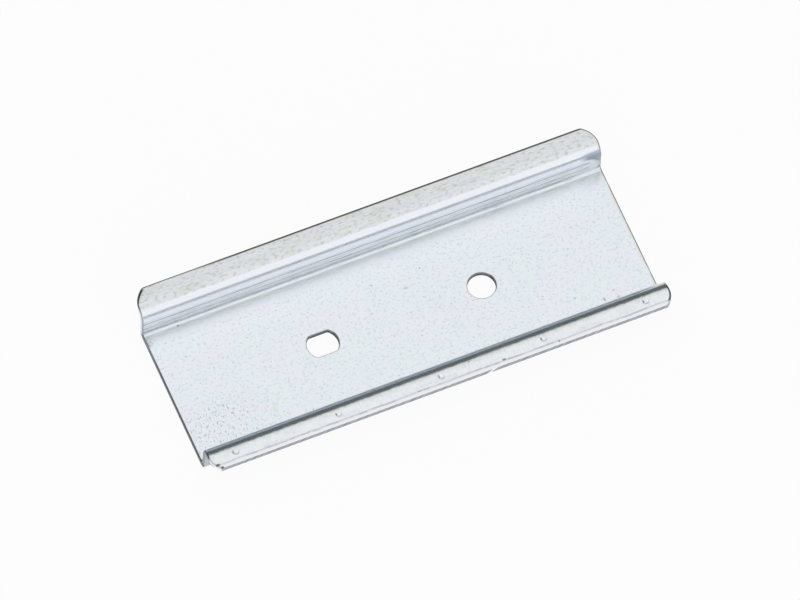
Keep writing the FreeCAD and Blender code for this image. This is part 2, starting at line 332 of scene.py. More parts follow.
def spread(along_line, across_line):
    """Points of the grid, pulled in near the ends so that the last row follows the outline."""
    along, across = np.meshgrid(along_line, across_line, indexing="ij")
    margin = 3.5
    share = np.clip((np.abs(along) - (half_length - margin)) / margin, 0, 1)
    return along - np.sign(along) * share * (half_length - end_reach(across)), across


def index_of(lines, place):
    """Number of the line at a place."""
    return int(np.argmin(np.abs(lines - place)))


grid_along, grid_across = spread(along_lines, across_lines)
shape = grid_along.shape
grid_upper = add_points(grid_along.ravel(), grid_across.ravel(),
                        upper_relief(grid_along, grid_across).ravel()).reshape(shape)
grid_under = add_points(grid_along.ravel(), grid_across.ravel(),
                        sheet + edge_sink(grid_along, grid_across).ravel()).reshape(shape)
covered = {skin: np.ones((shape[0] - 1, shape[1] - 1), bool) for skin in ("upper", "under")}
print(grid_upper.size, "points a skin")

# %% Rings from a square of the grid to a punched rim
ring_gaps = [0.0, 0.03, 0.08, 0.15, 0.3, 0.6]
ring_room = 0.8            # share of the room between rim and square that those rings may take
even_rings = 2             # rings set out evenly in what is left


def square_loop(centre_along, centre_across, reach, skins):
    """Grid steps round a square, anticlockwise, and take its inside out of the skins."""
    i0, i1 = (index_of(along_lines, centre_along + side * reach) for side in (-1, 1))
    j0, j1 = (index_of(across_lines, centre_across + side * reach) for side in (-1, 1))
    for skin in skins:
        covered[skin][i0:i1, j0:j1] = False
    return ([(i, j0) for i in range(i0, i1)] + [(i1, j) for j in range(j0, j1)]
            + [(i, j1) for i in range(i1, i0, -1)] + [(i0, j) for j in range(j1, j0, -1)])


def rings_to_rim(centre, loop, rim_at, gaps, upper):
    """Rings between the square and the rim on one skin; returns the ring at the rim."""
    i, j = np.array(loop).T
    outer = (grid_upper if upper else grid_under)[i, j]
    start = np.array([grid_along[i, j] - centre[0], grid_across[i, j] - centre[1]])
    angle = np.arctan2(start[1], start[0])
    rim = rim_at(angle)
    reach = np.hypot(*start)
    widest = (reach - rim).min()
    steps = [gap for gap in gaps if gap < ring_room * widest]
    previous = outer
    for n in range(even_rings, 0, -1):
        share = n / (even_rings + 1)
        distance = rim + steps[-1] + (reach - rim - steps[-1]) * share
        previous = ring_of_faces(centre, angle, distance, rim, previous, upper)
    for gap in reversed(steps):
        previous = ring_of_faces(centre, angle, rim + gap, rim, previous, upper)
    return previous, angle


def ring_of_faces(centre, angle, distance, rim, previous, upper):
    """One ring of points at a distance from the centre, joined to the ring before it."""
    along = centre[0] + distance * np.cos(angle)
    across = centre[1] + distance * np.sin(angle)
    if upper:
        depth = upper_relief(along, across) + rolled(distance - rim, punch_roll)
    else:
        depth = np.full(len(along), sheet)
    ring = add_points(along, across, depth)
    rows = (previous, np.roll(previous, -1), np.roll(ring, -1), ring)
    add_quads(*(rows if upper else reversed(rows)), SKIN)
    return ring


# %% [markdown]
# ## Cut faces
#
# Where the sheet was cut, the blade leaves a smooth burnished band at the top and a
# rougher torn band below it, set back a little. The same few rows of points make that
# face for the two holes and for the whole outline of the strip. The ends and holes show
# bare steel. The long edges got their zinc smeared over them, so they are a material of
# their own.

# %% Cut face between the two skins
burnished_share = 0.45
torn_setback = {"hole": 0.09, "outline": 0.02}
long_edge_share = 0.45     # a cut that faces this far across the rail counts as a long edge
cut_rows = [0.12, 0.28, 0.45, 0.55, 0.75, 0.92]


def cut_face(upper_ring, under_ring, outward, where):
    """Faces down a cut, from the upper ring of points to the under one."""
    along, across, top = (np.array([points[n][k] for n in upper_ring]) for k in range(3))
    bottom = np.array([points[n][2] for n in under_ring])
    kind = END_CUT
    if where == "outline":
        kind = np.where(np.abs(outward[1]) > long_edge_share, LONG_CUT, END_CUT)
    previous = upper_ring
    for share in cut_rows:
        set_back = torn_setback[where] * np.clip((share - burnished_share) / 0.2, 0, 1)
        depth = top + (bottom - top) * share
        ring = add_points(along - set_back * outward[0], across - set_back * outward[1], depth)
        add_quads(previous, ring, np.roll(ring, -1), np.roll(previous, -1), kind)
        previous = ring
    add_quads(previous, under_ring, np.roll(under_ring, -1), np.roll(previous, -1), kind)


def round_rim(angle):
    """The round fixing hole."""
    return hole_radius + 0 * angle


def slot_rim(angle):
    """The slot: a larger round with two flats."""
    flat = slot_flat / np.maximum(np.abs(np.sin(angle)), 1e-6)
    return np.minimum(slot_radius, flat)


punched = ((hole_x, round_rim), (slot_x, slot_rim))


def gap_to_holes(along, across):
    """Distance from each point to the nearest punched rim, measured from the hole's middle."""
    gaps = []
    for centre_along, rim_at in punched:
        angle = np.arctan2(across, along - centre_along)
        gaps.append(np.hypot(along - centre_along, across) - rim_at(angle))
    return np.minimum(*gaps)


for centre_along, rim_at in punched:
    centre = (centre_along, 0.0)
    loop = square_loop(*centre, hole_square, ("upper", "under"))
    rims = [rings_to_rim(centre, loop, rim_at, ring_gaps, upper) for upper in (True, False)]
    angle = rims[0][1]
    cut_face(rims[0][0], rims[1][0], (-np.cos(angle), -np.sin(angle)), "hole")
    print("hole at", centre_along, "with", len(loop), "faces round it")

# %% Dents along the front lip
bowl_radius = (dent_radius**2 + dent_depth**2) / (2 * dent_depth)
dent_rings = [1.18, 1.08, 1.0, 0.97, 0.92, 0.84, 0.7, 0.5, 0.28, 0.1]  # shares of the dent's radius
inside_square = 0.97       # how near a ring may come to the square round the dent
punch_slant, punch_heading = 0.45, math.radians(-65)  # the punch leaned, so one side is steeper

for place in dent_places:
    centre = (place, dent_across)
    loop = square_loop(*centre, dent_square, ("upper",))
    i, j = np.array(loop).T
    start = np.array([grid_along[i, j] - centre[0], grid_across[i, j] - centre[1]])
    angle, reach = np.arctan2(start[1], start[0]), np.hypot(*start)
    previous = grid_upper[i, j]
    for share in dent_rings:
        distance = np.minimum(share * dent_radius, reach * inside_square)
        along = centre[0] + distance * np.cos(angle)
        across = centre[1] + distance * np.sin(angle)
        bowl = dent_depth - bowl_radius + np.sqrt(np.maximum(bowl_radius**2 - distance**2, 0))
        bowl = bowl * (1 + punch_slant * share * np.cos(angle - punch_heading))
        depth = upper_relief(along, across) + (np.maximum(bowl, 0) if share <= 1 else 0.0)
        ring = add_points(along, across, depth)
        add_quads(previous, np.roll(previous, -1), np.roll(ring, -1), ring, SKIN)
        previous = ring
    faces.append(tuple(int(n) for n in previous))
    kinds.append(SKIN)
print(len(dent_places), "dents at", dent_places)

# %% Skins outside the holes, and the cut outline
i, j = np.nonzero(covered["upper"])
add_quads(grid_upper[i, j], grid_upper[i + 1, j], grid_upper[i + 1, j + 1], grid_upper[i, j + 1], SKIN)
i, j = np.nonzero(covered["under"])
add_quads(grid_under[i, j], grid_under[i, j + 1], grid_under[i + 1, j + 1], grid_under[i + 1, j], SKIN)

last_i, last_j = shape[0] - 1, shape[1] - 1
outline = ([(n, 0) for n in range(last_i)] + [(last_i, n) for n in range(last_j)]
           + [(n, last_j) for n in range(last_i, 0, -1)] + [(0, n) for n in range(last_j, 0, -1)])
i, j = np.array(outline).T
along, across = grid_along[i, j], grid_across[i, j]
heading = np.array([np.roll(along, -1) - np.roll(along, 1), np.roll(across, -1) - np.roll(across, 1)])
heading /= np.hypot(*heading)
cut_face(grid_upper[i, j], grid_under[i, j], (heading[1], -heading[0]), "outline")
print(len(points), "points,", len(faces), "faces")

# %% [markdown]
# ## Bending the blank into the rail
#
# The flat blank is now complete. Folding it gives the mesh, in metres, and the place of
# each point on the flat sheet is kept as an attribute called blank. The finish will use
# it, because rolling marks and streaks follow the sheet, not the room. A second attribute
# keeps how far each point lies from the sheared end, which follows the cropped corners,
# and a third how far it lies from the rim of a punched hole.

# %% The rail's sheet as a mesh
blank = np.array(points)
y, z = fold(blank[:, 1], blank[:, 2])
place = np.column_stack([blank[:, 0], y, z])
place[:, 0] = np.clip(place[:, 0], -half_length, half_length)
place[:, 1] = np.clip(place[:, 1], -half_width, half_width)
place[:, 2] = np.clip(place[:, 2], 0, rail_height)
used = np.unique(np.concatenate([np.array(face) for face in faces]))
renumber = np.full(len(points), -1)
renumber[used] = np.arange(len(used))
corners = [tuple(int(renumber[n]) for n in face) for face in faces]
mesh = bpy.data.meshes.new("rail_sheet")
mesh.from_pydata((place[used] * MM).tolist(), [], corners)
mesh.polygons.foreach_set("material_index", np.array(kinds, np.int32))
mesh.polygons.foreach_set("use_smooth", np.ones(len(faces), bool))
mesh.attributes.new("blank", "FLOAT_VECTOR", "POINT").data.foreach_set(
    "vector", blank[used].astype(np.float32).ravel())
mesh.attributes.new("end_gap", "FLOAT", "POINT").data.foreach_set(
    "value", gap_to_end(blank[used, 0], blank[used, 1]).astype(np.float32))
mesh.attributes.new("punch_gap", "FLOAT", "POINT").data.foreach_set(
    "value", gap_to_holes(blank[used, 0], blank[used, 1]).astype(np.float32))
mesh.update()
sharp_from = math.radians(32)
mesh.set_sharp_from_angle(angle=sharp_from)
rail_sheet = bpy.data.objects.new("rail_sheet", mesh)
bpy.context.scene.collection.objects.link(rail_sheet)
print("triangles:", sum(len(face) - 2 for face in faces), "mesh had to be repaired:", mesh.validate())

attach(rail_sheet, "root")
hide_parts("rail")

# %% [markdown]
# ## Colours and nodes
#
# Colours are written as the hex values a paint program shows. The shader wants linear
# light, so one function turns them. Another adds a node: its kind, its input sockets by
# name, and its own settings.

# %% Two helpers for materials
def paint(hex_colour):
    """A hex colour as linear light, with full alpha."""
    levels = [int(hex_colour[n:n + 2], 16) / 255 for n in (1, 3, 5)]
    return (*(c / 12.92 if c <= 0.04045 else ((c + 0.055) / 1.055) ** 2.4 for c in levels), 1.0)


def add_node(tree, kind, sockets=None, **settings):
    """Add a node; each socket takes a value or another node's output."""
    made = tree.nodes.new(kind)
    for name, value in settings.items():
        setattr(made, name, value)
    for name, value in (sockets or {}).items():
        if isinstance(value, bpy.types.NodeSocket):
            tree.links.new(value, made.inputs[name])
        else:
            made.inputs[name].default_value = value
    return made


print("cool zinc white", [round(c, 3) for c in paint("#EEF4FA")[:3]])

# %% [markdown]
# ## Marks laid over a finish
#
# Real sheet is never one colour. It carries clouds from the zinc bath, rubbed grains and
# streaks from the bending tool. Some layers paint light and shade as well: dark lines at the
# rims, partly where the coating was torn and partly painted shade of the rolled rims, paler
# bends as painted highlights, and painted shade in the corners, on the front bend and in
# the crease. Each is a thin layer over the one below. A layer has a colour and a list of
# masks, and each mask says where on the sheet it starts and where it is full. Grain sizes
# are given in millimetres along and across the sheet.

# %% Layers and grains
def sheet_place(tree):
    """Where the shaded point lies on the flat sheet: the place, and its along, across and depth."""
    place = add_node(tree, "ShaderNodeAttribute", attribute_name="blank").outputs["Vector"]
    parts = add_node(tree, "ShaderNodeSeparateXYZ", {"Vector": place}).outputs
    return place, parts["X"], parts["Y"], parts["Z"]


def grain(tree, place, length, width, detail=2.0, start=0.0):
    """Noise whose grains have a length along the sheet and a width across it, in millimetres."""
    scaled = add_node(tree, "ShaderNodeVectorMath", {
        0: place, 1: (1 / length, 1 / width, 1.0), 2: (start, start, 0.0)}, operation="MULTIPLY_ADD")
    return add_node(tree, "ShaderNodeTexNoise", {
        "Vector": scaled.outputs["Vector"], "Scale": 1.0, "Detail": detail}).outputs["Fac"]


def wavered(tree, value, noise, swing):
    """A place that wavers by a noise, to make the border of a layer uneven."""
    centred = add_node(tree, "ShaderNodeMath", {0: noise, 1: -0.5}, operation="ADD")
    return add_node(tree, "ShaderNodeMath", {0: centred.outputs[0], 1: 2 * swing, 2: value},
                    operation="MULTIPLY_ADD").outputs[0]


def from_spot(tree, place, centre, reach):
    """Distance from the middle of a small mark, where 1 is its edge."""
    scale = (1 / reach[0], 1 / reach[1], 0.0)
    shift = (-centre[0] / reach[0], -centre[1] / reach[1], 0.0)
    scaled = add_node(tree, "ShaderNodeVectorMath", {0: place, 1: scale, 2: shift},
                      operation="MULTIPLY_ADD")
    return add_node(tree, "ShaderNodeVectorMath", {0: scaled.outputs["Vector"]},
                    operation="LENGTH").outputs["Value"]


shaded_side = (2.4, -0.3)  # from the middle of a hole to the side that is turned from the light


def shaded_sides(tree, place, reach):
    """Distance from the shaded side of each hole."""
    return [from_spot(tree, place, (middle + shaded_side[0], shaded_side[1]), reach)
            for middle in (hole_x, slot_x)]


def lay(tree, below, colour, masks, strength=1.0, blend="MIX"):
    """Lay a colour where all masks are full; a mask is (value, where it starts, where full)."""
    share = strength
    for value, start, full in masks:
        mask = add_node(tree, "ShaderNodeMapRange", {
            "Value": value, "From Min": start, "From Max": full}, interpolation_type="SMOOTHSTEP")
        share = add_node(tree, "ShaderNodeMath", {0: mask.outputs["Result"], 1: share},
                         operation="MULTIPLY").outputs[0]
    return add_node(tree, "ShaderNodeMix", {0: share, 6: below, 7: paint(colour)}, data_type="RGBA",
                    blend_type=blend).outputs[2]


def new_finish(name):
    """An empty material for one of the rail's surfaces."""
    finish = bpy.data.materials.new(name)
    finish.use_nodes = True
    finish.node_tree.nodes.clear()
    mesh.materials.append(finish)
    return finish.node_tree


print("layer helpers ready")

# %% [markdown]
# ## Galvanised steel
#
# Zinc-coated sheet is dipped and then lightly rolled, which leaves a pale satin with no
# sharp mirror in it. Zinc reflects about four fifths of the light or more, a touch more of
# the blue than of the red, so it looks cool white. Soft clouds from the bath drift between
# lilac and pale cyan, and rubbed grains show as grey specks, thicker at the front left.

# %% Galvanised steel: the web
tree = new_finish("galvanised steel, rolled satin")
place, along, across, depth = sheet_place(tree)
clouds = grain(tree, place, 9.0, 6.0)
mottle = grain(tree, place, 0.55, 0.45, 3.0)
specks = grain(tree, place, 0.42, 0.26, 1.0, start=31.0)
strokes = grain(tree, place, 0.24, 0.65, 1.0, start=57.0)
colour = add_node(tree, "ShaderNodeRGB")
colour.outputs[0].default_value = paint("#E9F1F5")
colour = lay(tree, colour.outputs[0], "#ECEFF6", [(clouds, 0.42, 0.6)])
colour = lay(tree, colour, "#DCDFE6", [(mottle, 0.5, 0.72)], 0.55, "MULTIPLY")
colour = lay(tree, colour, "#BFC3C8", [(specks, 0.66, 0.76)], 0.9, "MULTIPLY")
colour = lay(tree, colour, "#B7BDC2", [
    (strokes, 0.59, 0.68), (wavered(tree, along, clouds, 6.0), -25.0, -32.0),
    (wavered(tree, across, clouds, 3.0), -2.0, -5.0), (across, -12.0, -10.0)], 0.8, "MULTIPLY")
print("web colours laid")

# %% [markdown]
# ## Lips, wall and bends
#
# The lips look a shade greyer and greener than the web, the back one most. Down the back
# wall the bending rolls drew thin broken streaks; its long dark lines are painted shade of
# the wall's forming ridges. The bends and the wall are painted paler, as painted
# highlights, and the web along the foot of the wall darker, as painted shade. The front bend
# turns away from the light, so it mirrors the dark side of the room: bluish above, and
# darker and greener below. Both are painted into its colour too, as painted shade above and
# a painted dark reflection below, with a combed border and a cream fringe after it. The
# facet along the sheared front edge is pale, with a broken grey line of painted shade in
# the crease behind it.

# %% Galvanised steel: lips, wall and bends
lip_cloud = grain(tree, place, 5.0, 1.6, 3.0, start=11.0)
lip_grain = grain(tree, place, 0.8, 0.4, 3.0, start=17.0)
streak = grain(tree, place, 9.0, 0.16, 2.0, start=23.0)
comb = grain(tree, place, 1.0, 2.6, 3.0, start=41.0)
back_border = wavered(tree, across, lip_grain, 0.35)
on_back_lip = (back_border, lip_start - 1.15, lip_start - 0.88)
colour = lay(tree, colour, "#DFE3E5", [on_back_lip])
colour = lay(tree, colour, "#D6DBD5", [on_back_lip, (lip_cloud, 0.5, 0.64)], 0.8)
colour = lay(tree, colour, "#DEDEE8", [on_back_lip, (lip_cloud, 0.45, 0.34)], 0.7)
lengthwise = grain(tree, place, 14.0, 0.3, 2.0, start=29.0)
colour = lay(tree, colour, "#EBEEEE", [on_back_lip, (lengthwise, 0.54, 0.66)], 0.6)
colour = lay(tree, colour, "#C9CDCB", [on_back_lip, (lip_grain, 0.48, 0.7)], 0.55, "MULTIPLY")

# Painted highlights: the base bend, the lip bend and the back wall are painted paler than the web
highlight_at_foot = [(across, web_end - 2.2, web_end - 1.0), (across, wall_start, wall_start - 0.2)]
highlight_over_bend = [(across, wall_end, wall_end + 0.3), (across, lip_start - 0.82, lip_start - 1.1)]
highlight_up_wall = [(across, wall_start - 0.2, wall_start + 0.2), (across, lip_start - 1.4, lip_start - 1.7)]
colour = lay(tree, colour, "#E9EDF1", highlight_at_foot)
colour = lay(tree, colour, "#EDF1F8", highlight_over_bend)
colour = lay(tree, colour, "#FAFBFF", highlight_up_wall)
on_wall = [(across, web_end + 0.3, web_end + 0.6), (across, wall_end - 0.2, wall_end - 0.6)]
dashes = grain(tree, place, 3.0, 0.15, 1.0, start=67.0)
colour = lay(tree, colour, "#D8DDE3", on_wall + [(streak, 0.5, 0.62)], 0.7, "MULTIPLY")
colour = lay(tree, colour, "#A9B6C8", on_wall + [(dashes, 0.58, 0.7)], 0.7, "MULTIPLY")

# Long dark lines on the wall, painted shade of its forming ridges: how far up it, half width and
# strength
ridge_shade_lines = [(2.5, 0.24, 0.8), (1.0, 0.22, 0.5), (-0.15, 0.2, 0.2)]
short_of_end = (along, half_length - 1.8, half_length - 2.6)
for up, reach, share in ridge_shade_lines:
    wavy = wavered(tree, across, streak, 0.12)
    middle = wall_start + up
    colour = lay(tree, colour, "#AEB8C6", [
        (wavy, middle - reach, middle - 0.05), (wavy, middle + reach, middle + 0.05),
        short_of_end], share, "MULTIPLY")

# Painted shade on the web along the foot of the back wall, in a broken band
foot_shade_border = wavered(tree, across, lip_grain, 0.7)
colour = lay(tree, colour, "#EEF1ED", [
    (foot_shade_border, web_end - 1.3, web_end - 0.5), (across, web_end + 0.3, web_end + 0.1)],
    0.9, "MULTIPLY")
colour = lay(tree, colour, "#DDE2DD", [
    (across, web_end - 0.7, web_end - 0.35), (across, web_end + 0.1, web_end - 0.1),
    (dashes, 0.46, 0.56)], 0.6, "MULTIPLY")

front_border = wavered(tree, across, comb, 0.6)
on_front_lip = (across, -(lip_start - 0.3), -(lip_start - 0.1))
colour = lay(tree, colour, "#EDF0F3", [on_front_lip])
colour = lay(tree, colour, "#E4E9EE", [on_front_lip, (lip_cloud, 0.5, 0.62)], 0.8)
lip_strokes = grain(tree, place, 0.3, 1.3, 2.0, start=47.0)
colour = lay(tree, colour, "#DDE0E2", [on_front_lip, (lip_strokes, 0.5, 0.68)], 0.35, "MULTIPLY")
colour = lay(tree, colour, "#DDDFD8", [
    (front_border, -(lip_start - 0.5), -(lip_start - 0.3)), (lip_grain, 0.38, 0.55),
    (across, -(lip_start + 0.35), -(lip_start + 0.05))], 0.7)
# A darker, greener band at the lip end of the front bend: a painted reflection of the dark side of the
# room
colour = lay(tree, colour, "#8F9690", [(front_border, -(lip_start - 0.34), -(lip_start - 0.48)),
                                       (across, -(lip_start - 0.75), -(lip_start - 0.45))], 0.48)
# The rest of the front bend darkened: painted shade where it turns from the light
colour = lay(tree, colour, "#E3E3E0", [
    (across, -(lip_start - 0.55), -(lip_start - 0.8)),
    (across, -(lip_start - 1.7), -(lip_start - 1.4))], 1.0, "MULTIPLY")
colour = lay(tree, colour, "#EAEDF0", [(across, -edge + 0.7, -edge + 0.55)])
crease_wave = grain(tree, place, 2.4, 9.0, 1.0, start=83.0)
creased = wavered(tree, across, crease_wave, 0.12)
crease_gaps = grain(tree, place, 1.6, 3.0, 2.0, start=91.0)
# Painted shade in the crease behind the front facet, broken in places
crease_shade_line = [(creased, -edge + 0.42, -edge + 0.62), (creased, -edge + 0.95, -edge + 0.72)]
colour = lay(tree, colour, "#BFC3C8", crease_shade_line, 0.6)
colour = lay(tree, colour, "#A9AFB4", crease_shade_line + [(crease_gaps, 0.45, 0.6)], 0.5)
print("lips and bends laid")

# %% [markdown]
# ## Dark rims and stray marks
#
# Where the sheet was sheared, a dark line follows the rim: partly thin zinc, partly painted
# shade where the rolled rim turns from the light. It is brown along the back edge, teal at
# the left end, and olive, coming and going, at the right. It is wider at the right end of
# the front lip, and at the back left corner, where it makes a lens. The punched rims get a
# grey ring of the same kind, darker on their shaded side. The left end of the front lip
# catches the light instead, and is pale. The last marks are single ones, as on any piece
# that has lain in a box of others.

# %% Galvanised steel: rims, marks and shader
end_gap = add_node(tree, "ShaderNodeAttribute", attribute_name="end_gap").outputs["Fac"]
rim_noise = grain(tree, place, 3.0, 3.0, 2.0, start=71.0)
# Dark lines along the sheared rims: partly thin zinc, partly painted shade of the rolled rims
colour = lay(tree, colour, "#5C5D53", [(across, edge - 0.5, edge - 0.3), (along, -33.0, -23.0)], 0.95)
colour = lay(tree, colour, "#756A62", [(across, edge - 0.33, edge - 0.16), (along, -23.0, -33.0)], 0.95)
colour = lay(tree, colour, "#E6DDD2", [
    (end_gap, 0.7, 0.3), (along, 39.0, 39.5), (rim_noise, 0.4, 0.6)], 0.6)
right_end = (along, 37.0, 37.5)
left_rim = [(end_gap, 0.26, 0.1), (along, -36.0, -37.0)]
colour = lay(tree, colour, "#7C8074", [(end_gap, 0.3, 0.12), right_end, (rim_noise, 0.3, 0.5)], 0.9)
colour = lay(tree, colour, "#57636A", left_rim, 0.9)
colour = lay(tree, colour, "#4F5759", [
    (end_gap, 0.42, 0.26), right_end, (across, -lip_start + 1.0, -lip_start + 0.4),
    (across, -edge + 0.5, -edge + 0.7)], 0.9)
on_wall_end = [(across, wall_start - 1.0, wall_start - 0.5), (across, lip_start + 0.3, lip_start - 0.2)]
colour = lay(tree, colour, "#A3A7B4", left_rim + on_wall_end, 0.9)
colour = lay(tree, colour, "#474F54", left_rim + [(across, 9.0, 6.0)], 0.8)
colour = lay(tree, colour, "#C6CACC", left_rim + [(across, -lip_start + 0.1, -lip_start - 0.4)], 0.95)

# The lens of painted shade on the wider roll at the back left corner widens towards the long edge
lens_widening = 0.16
corner_lens = add_node(tree, "ShaderNodeMath", {0: across, 1: -lens_widening, 2: end_gap},
                       operation="MULTIPLY_ADD").outputs[0]
lens_border = 0.44 - lens_widening * (edge - 0.9)
colour = lay(tree, colour, "#565C5D", [
    (corner_lens, lens_border + 0.14, lens_border), (along, -37.5, -38.5),
    (across, edge - 4.2, edge - 3.6), (across, edge - 0.3, edge - 0.7)], 0.9)

# The foot of the wall at the left end, and painted shade where the back wall rolls off at its right end
wall_foot = from_spot(tree, place, (-half_length, web_end - 1.2), (1.6, 1.3))
colour = lay(tree, colour, "#8E989E", [(wall_foot, 1.0, 0.3), (mottle, 0.35, 0.6)], 0.8)
wall_end_shade = from_spot(tree, place, (half_length - 3.4, wall_start + 1.2), (2.9, 2.3))
colour = lay(tree, colour, "#8793A2", [
    (wall_end_shade, 0.95, 1.2), (along, 36.3, 38.5), (across, wall_start - 0.3, wall_start + 0.3),
    (across, lip_start - 1.4, lip_start - 1.9)], 0.85)
bend_line = lip_start - 1.95
colour = lay(tree, colour, "#B4BDCA", [
    (across, bend_line - 0.3, bend_line - 0.05), (across, bend_line + 0.25, bend_line + 0.05),
    (along, 30.0, 37.0)], 0.9)

punch_gap = add_node(tree, "ShaderNodeAttribute", attribute_name="punch_gap").outputs["Fac"]
# A grey ring round each punched rim, and a darker one on its shaded side: painted shade of the rolled
# rims
colour = lay(tree, colour, "#A2A59F", [(punch_gap, 0.16, 0.06)], 0.95)
for right_side in shaded_sides(tree, place, (1.7, 1.9)):
    colour = lay(tree, colour, "#5F666B", [(punch_gap, 0.2, 0.1), (right_side, 1.0, 0.7)], 0.9)

# Stray marks: middle along and across the sheet, half sizes, colour and strength
stray_marks = [
    ((10.6, -edge + 0.85), (0.42, 0.24), "#7A8078", 0.9),
    ((11.5, -edge + 0.72), (0.5, 0.16), "#A3A9A2", 0.8),
    ((-4.3, -edge + 0.75), (0.5, 0.14), "#9AA096", 0.7),
    ((20.2, -edge + 0.55), (0.16, 0.2), "#70757A", 0.8),
    ((5.1, -edge + 2.75), (0.12, 0.14), "#7C8288", 0.8),
    ((-39.6, -edge + 0.75), (0.5, 0.28), "#6A726E", 0.95),
    ((-39.0, -edge + 0.08), (0.3, 0.3), "#55595C", 0.9),
    ((-2.6, 6.7), (0.22, 0.14), "#A2A7AC", 0.9),
    ((5.9, 6.7), (0.2, 0.16), "#A9AEB3", 0.9),
    ((2.4, 4.2), (0.5, 0.3), "#C9CED3", 0.8),
    ((27.1, -7.9), (0.3, 0.2), "#BFC5CA", 0.8),
    ((31.5, -9.9), (0.26, 0.5), "#B4BAC0", 0.8),
    ((33.5, -8.9), (0.26, 0.2), "#B7BDC2", 0.8),
    ((33.8, -10.3), (0.4, 0.3), "#BCC2C7", 0.7),
    ((-34.5, 11.9), (0.2, 0.2), "#5E6468", 0.9),
    ((-34.5, 13.4), (0.3, 0.2), "#A4ABB2", 0.8),
    ((-25.7, -8.1), (0.5, 0.9), "#DFE4D9", 0.6),
]
for centre, reach, shade, share in stray_marks:
    mark = from_spot(tree, place, centre, reach)
    colour = lay(tree, colour, shade, [(mark, 1.1, 0.5)], share)

# The under face is painted darker, as painted shade of the shadowed side of the sheet, with rolling
# streaks along it
under_face = (depth, 0.7, 0.95)
colour = lay(tree, colour, "#B6BFC7", [under_face], 0.95)
colour = lay(tree, colour, "#98A3AC", [under_face, (lengthwise, 0.46, 0.62)], 0.6)
colour = lay(tree, colour, "#C6CED4", [under_face, (clouds, 0.5, 0.64)], 0.5)
colour = lay(tree, colour, "#C4C9CE", [under_face, (mottle, 0.5, 0.7)], 0.5, "MULTIPLY")
rubbed = add_node(tree, "ShaderNodeMapRange", {"Value": mottle, "To Min": 0.25, "To Max": 0.33})
height = add_node(tree, "ShaderNodeMath", {0: mottle, 1: specks}, operation="SUBTRACT")
bump_height = 0.006 * MM
bump = add_node(tree, "ShaderNodeBump", {
    "Height": height.outputs[0], "Strength": 1.0, "Distance": bump_height})
shader = add_node(tree, "ShaderNodeBsdfPrincipled", {
    "Base Color": colour, "Metallic": 1.0, "Roughness": rubbed.outputs["Result"],
    "Normal": bump.outputs["Normal"]})
add_node(tree, "ShaderNodeOutputMaterial", {"Surface": shader.outputs["BSDF"]})
print(len(tree.nodes), "nodes in the zinc")

# %% [markdown]
# ## Sheared steel
#
# The ends and the holes show the bare steel that the blade left: darker and duller than
# zinc. At the left end the cuts of the back wall and of the front lip catch the light and
# are pale. In the holes the right side is turned from it, and is darkest. The long edges
# were sheared at a slant, so fine slanting strokes cover them, and the zinc smeared over
# them makes them a paler, warmer grey. The flake and the bright left tip are on the front
# edge alone.

# %% Bare steel, sheared and punched
tree = new_finish("bare steel, sheared and punched")
place, along, across, depth = sheet_place(tree)
torn = grain(tree, place, 0.5, 0.5, 3.0)
steel = add_node(tree, "ShaderNodeRGB")
steel.outputs[0].default_value = paint("#737B80")
colour = lay(tree, steel.outputs[0], "#525A5E", [(torn, 0.45, 0.6)], 0.7)
colour = lay(tree, colour, "#A3ACB3", [(across, -wall_start + 0.2, -wall_start - 0.3),
                                       (across, -lip_start - 0.2, -lip_start + 0.3)], 0.7)
left_half = (along, 0.0, -1.0)
colour = lay(tree, colour, "#EFF0F4", [
    (across, wall_start - 0.9, wall_start - 0.4), (across, lip_start + 1.0, lip_start + 0.4),
    left_half])
for right_side in shaded_sides(tree, place, (1.6, 1.9)):
    colour = lay(tree, colour, "#3E4548", [(right_side, 1.0, 0.8)], 0.9)
lip_cut = [(across, -lip_start + 0.1, -lip_start - 0.4), left_half]
colour = lay(tree, colour, "#F1F3F5", lip_cut)
colour = lay(tree, colour, "#7E858B", lip_cut + [(depth, 0.84, 0.93)])
shader = add_node(tree, "ShaderNodeBsdfPrincipled", {
    "Base Color": colour, "Metallic": 1.0, "Roughness": 0.5})
add_node(tree, "ShaderNodeOutputMaterial", {"Surface": shader.outputs["BSDF"]})
print("bare steel ready")

# %% Sheared long edge, zinc smeared over it
tree = new_finish("sheared long edge, zinc smeared over it")
place, along, across, depth = sheet_place(tree)
slant = add_node(tree, "ShaderNodeMath", {0: depth, 1: 0.8, 2: along},
                 operation="MULTIPLY_ADD").outputs[0]
strokes = add_node(tree, "ShaderNodeTexNoise", {"W": slant, "Scale": 2.6, "Detail": 1.0},
                   noise_dimensions="1D").outputs["Fac"]
smeared = add_node(tree, "ShaderNodeRGB")
smeared.outputs[0].default_value = paint("#BEC0C6")
colour = lay(tree, smeared.outputs[0], "#7F8188", [(strokes, 0.42, 0.58)], 0.95)
flake_slant = add_node(tree, "ShaderNodeMath", {0: depth, 1: 1.05, 2: along},
                       operation="MULTIPLY_ADD").outputs[0]
front_edge = (across, 0.0, -1.0)
colour = lay(tree, colour, "#F2F4F8", [front_edge, (flake_slant, flake_place - 0.35, flake_place - 0.15),
                                       (flake_slant, flake_place + 0.75, flake_place + 0.55)])
# The left tip of the front edge painted near white: a painted highlight
colour = lay(tree, colour, "#F4F6F8", [front_edge, (along, -half_length + 1.45, -half_length + 1.25)])
shader = add_node(tree, "ShaderNodeBsdfPrincipled", {
    "Base Color": colour, "Metallic": 1.0, "Roughness": 0.42})
add_node(tree, "ShaderNodeOutputMaterial", {"Surface": shader.outputs["BSDF"]})
print("long edge ready")

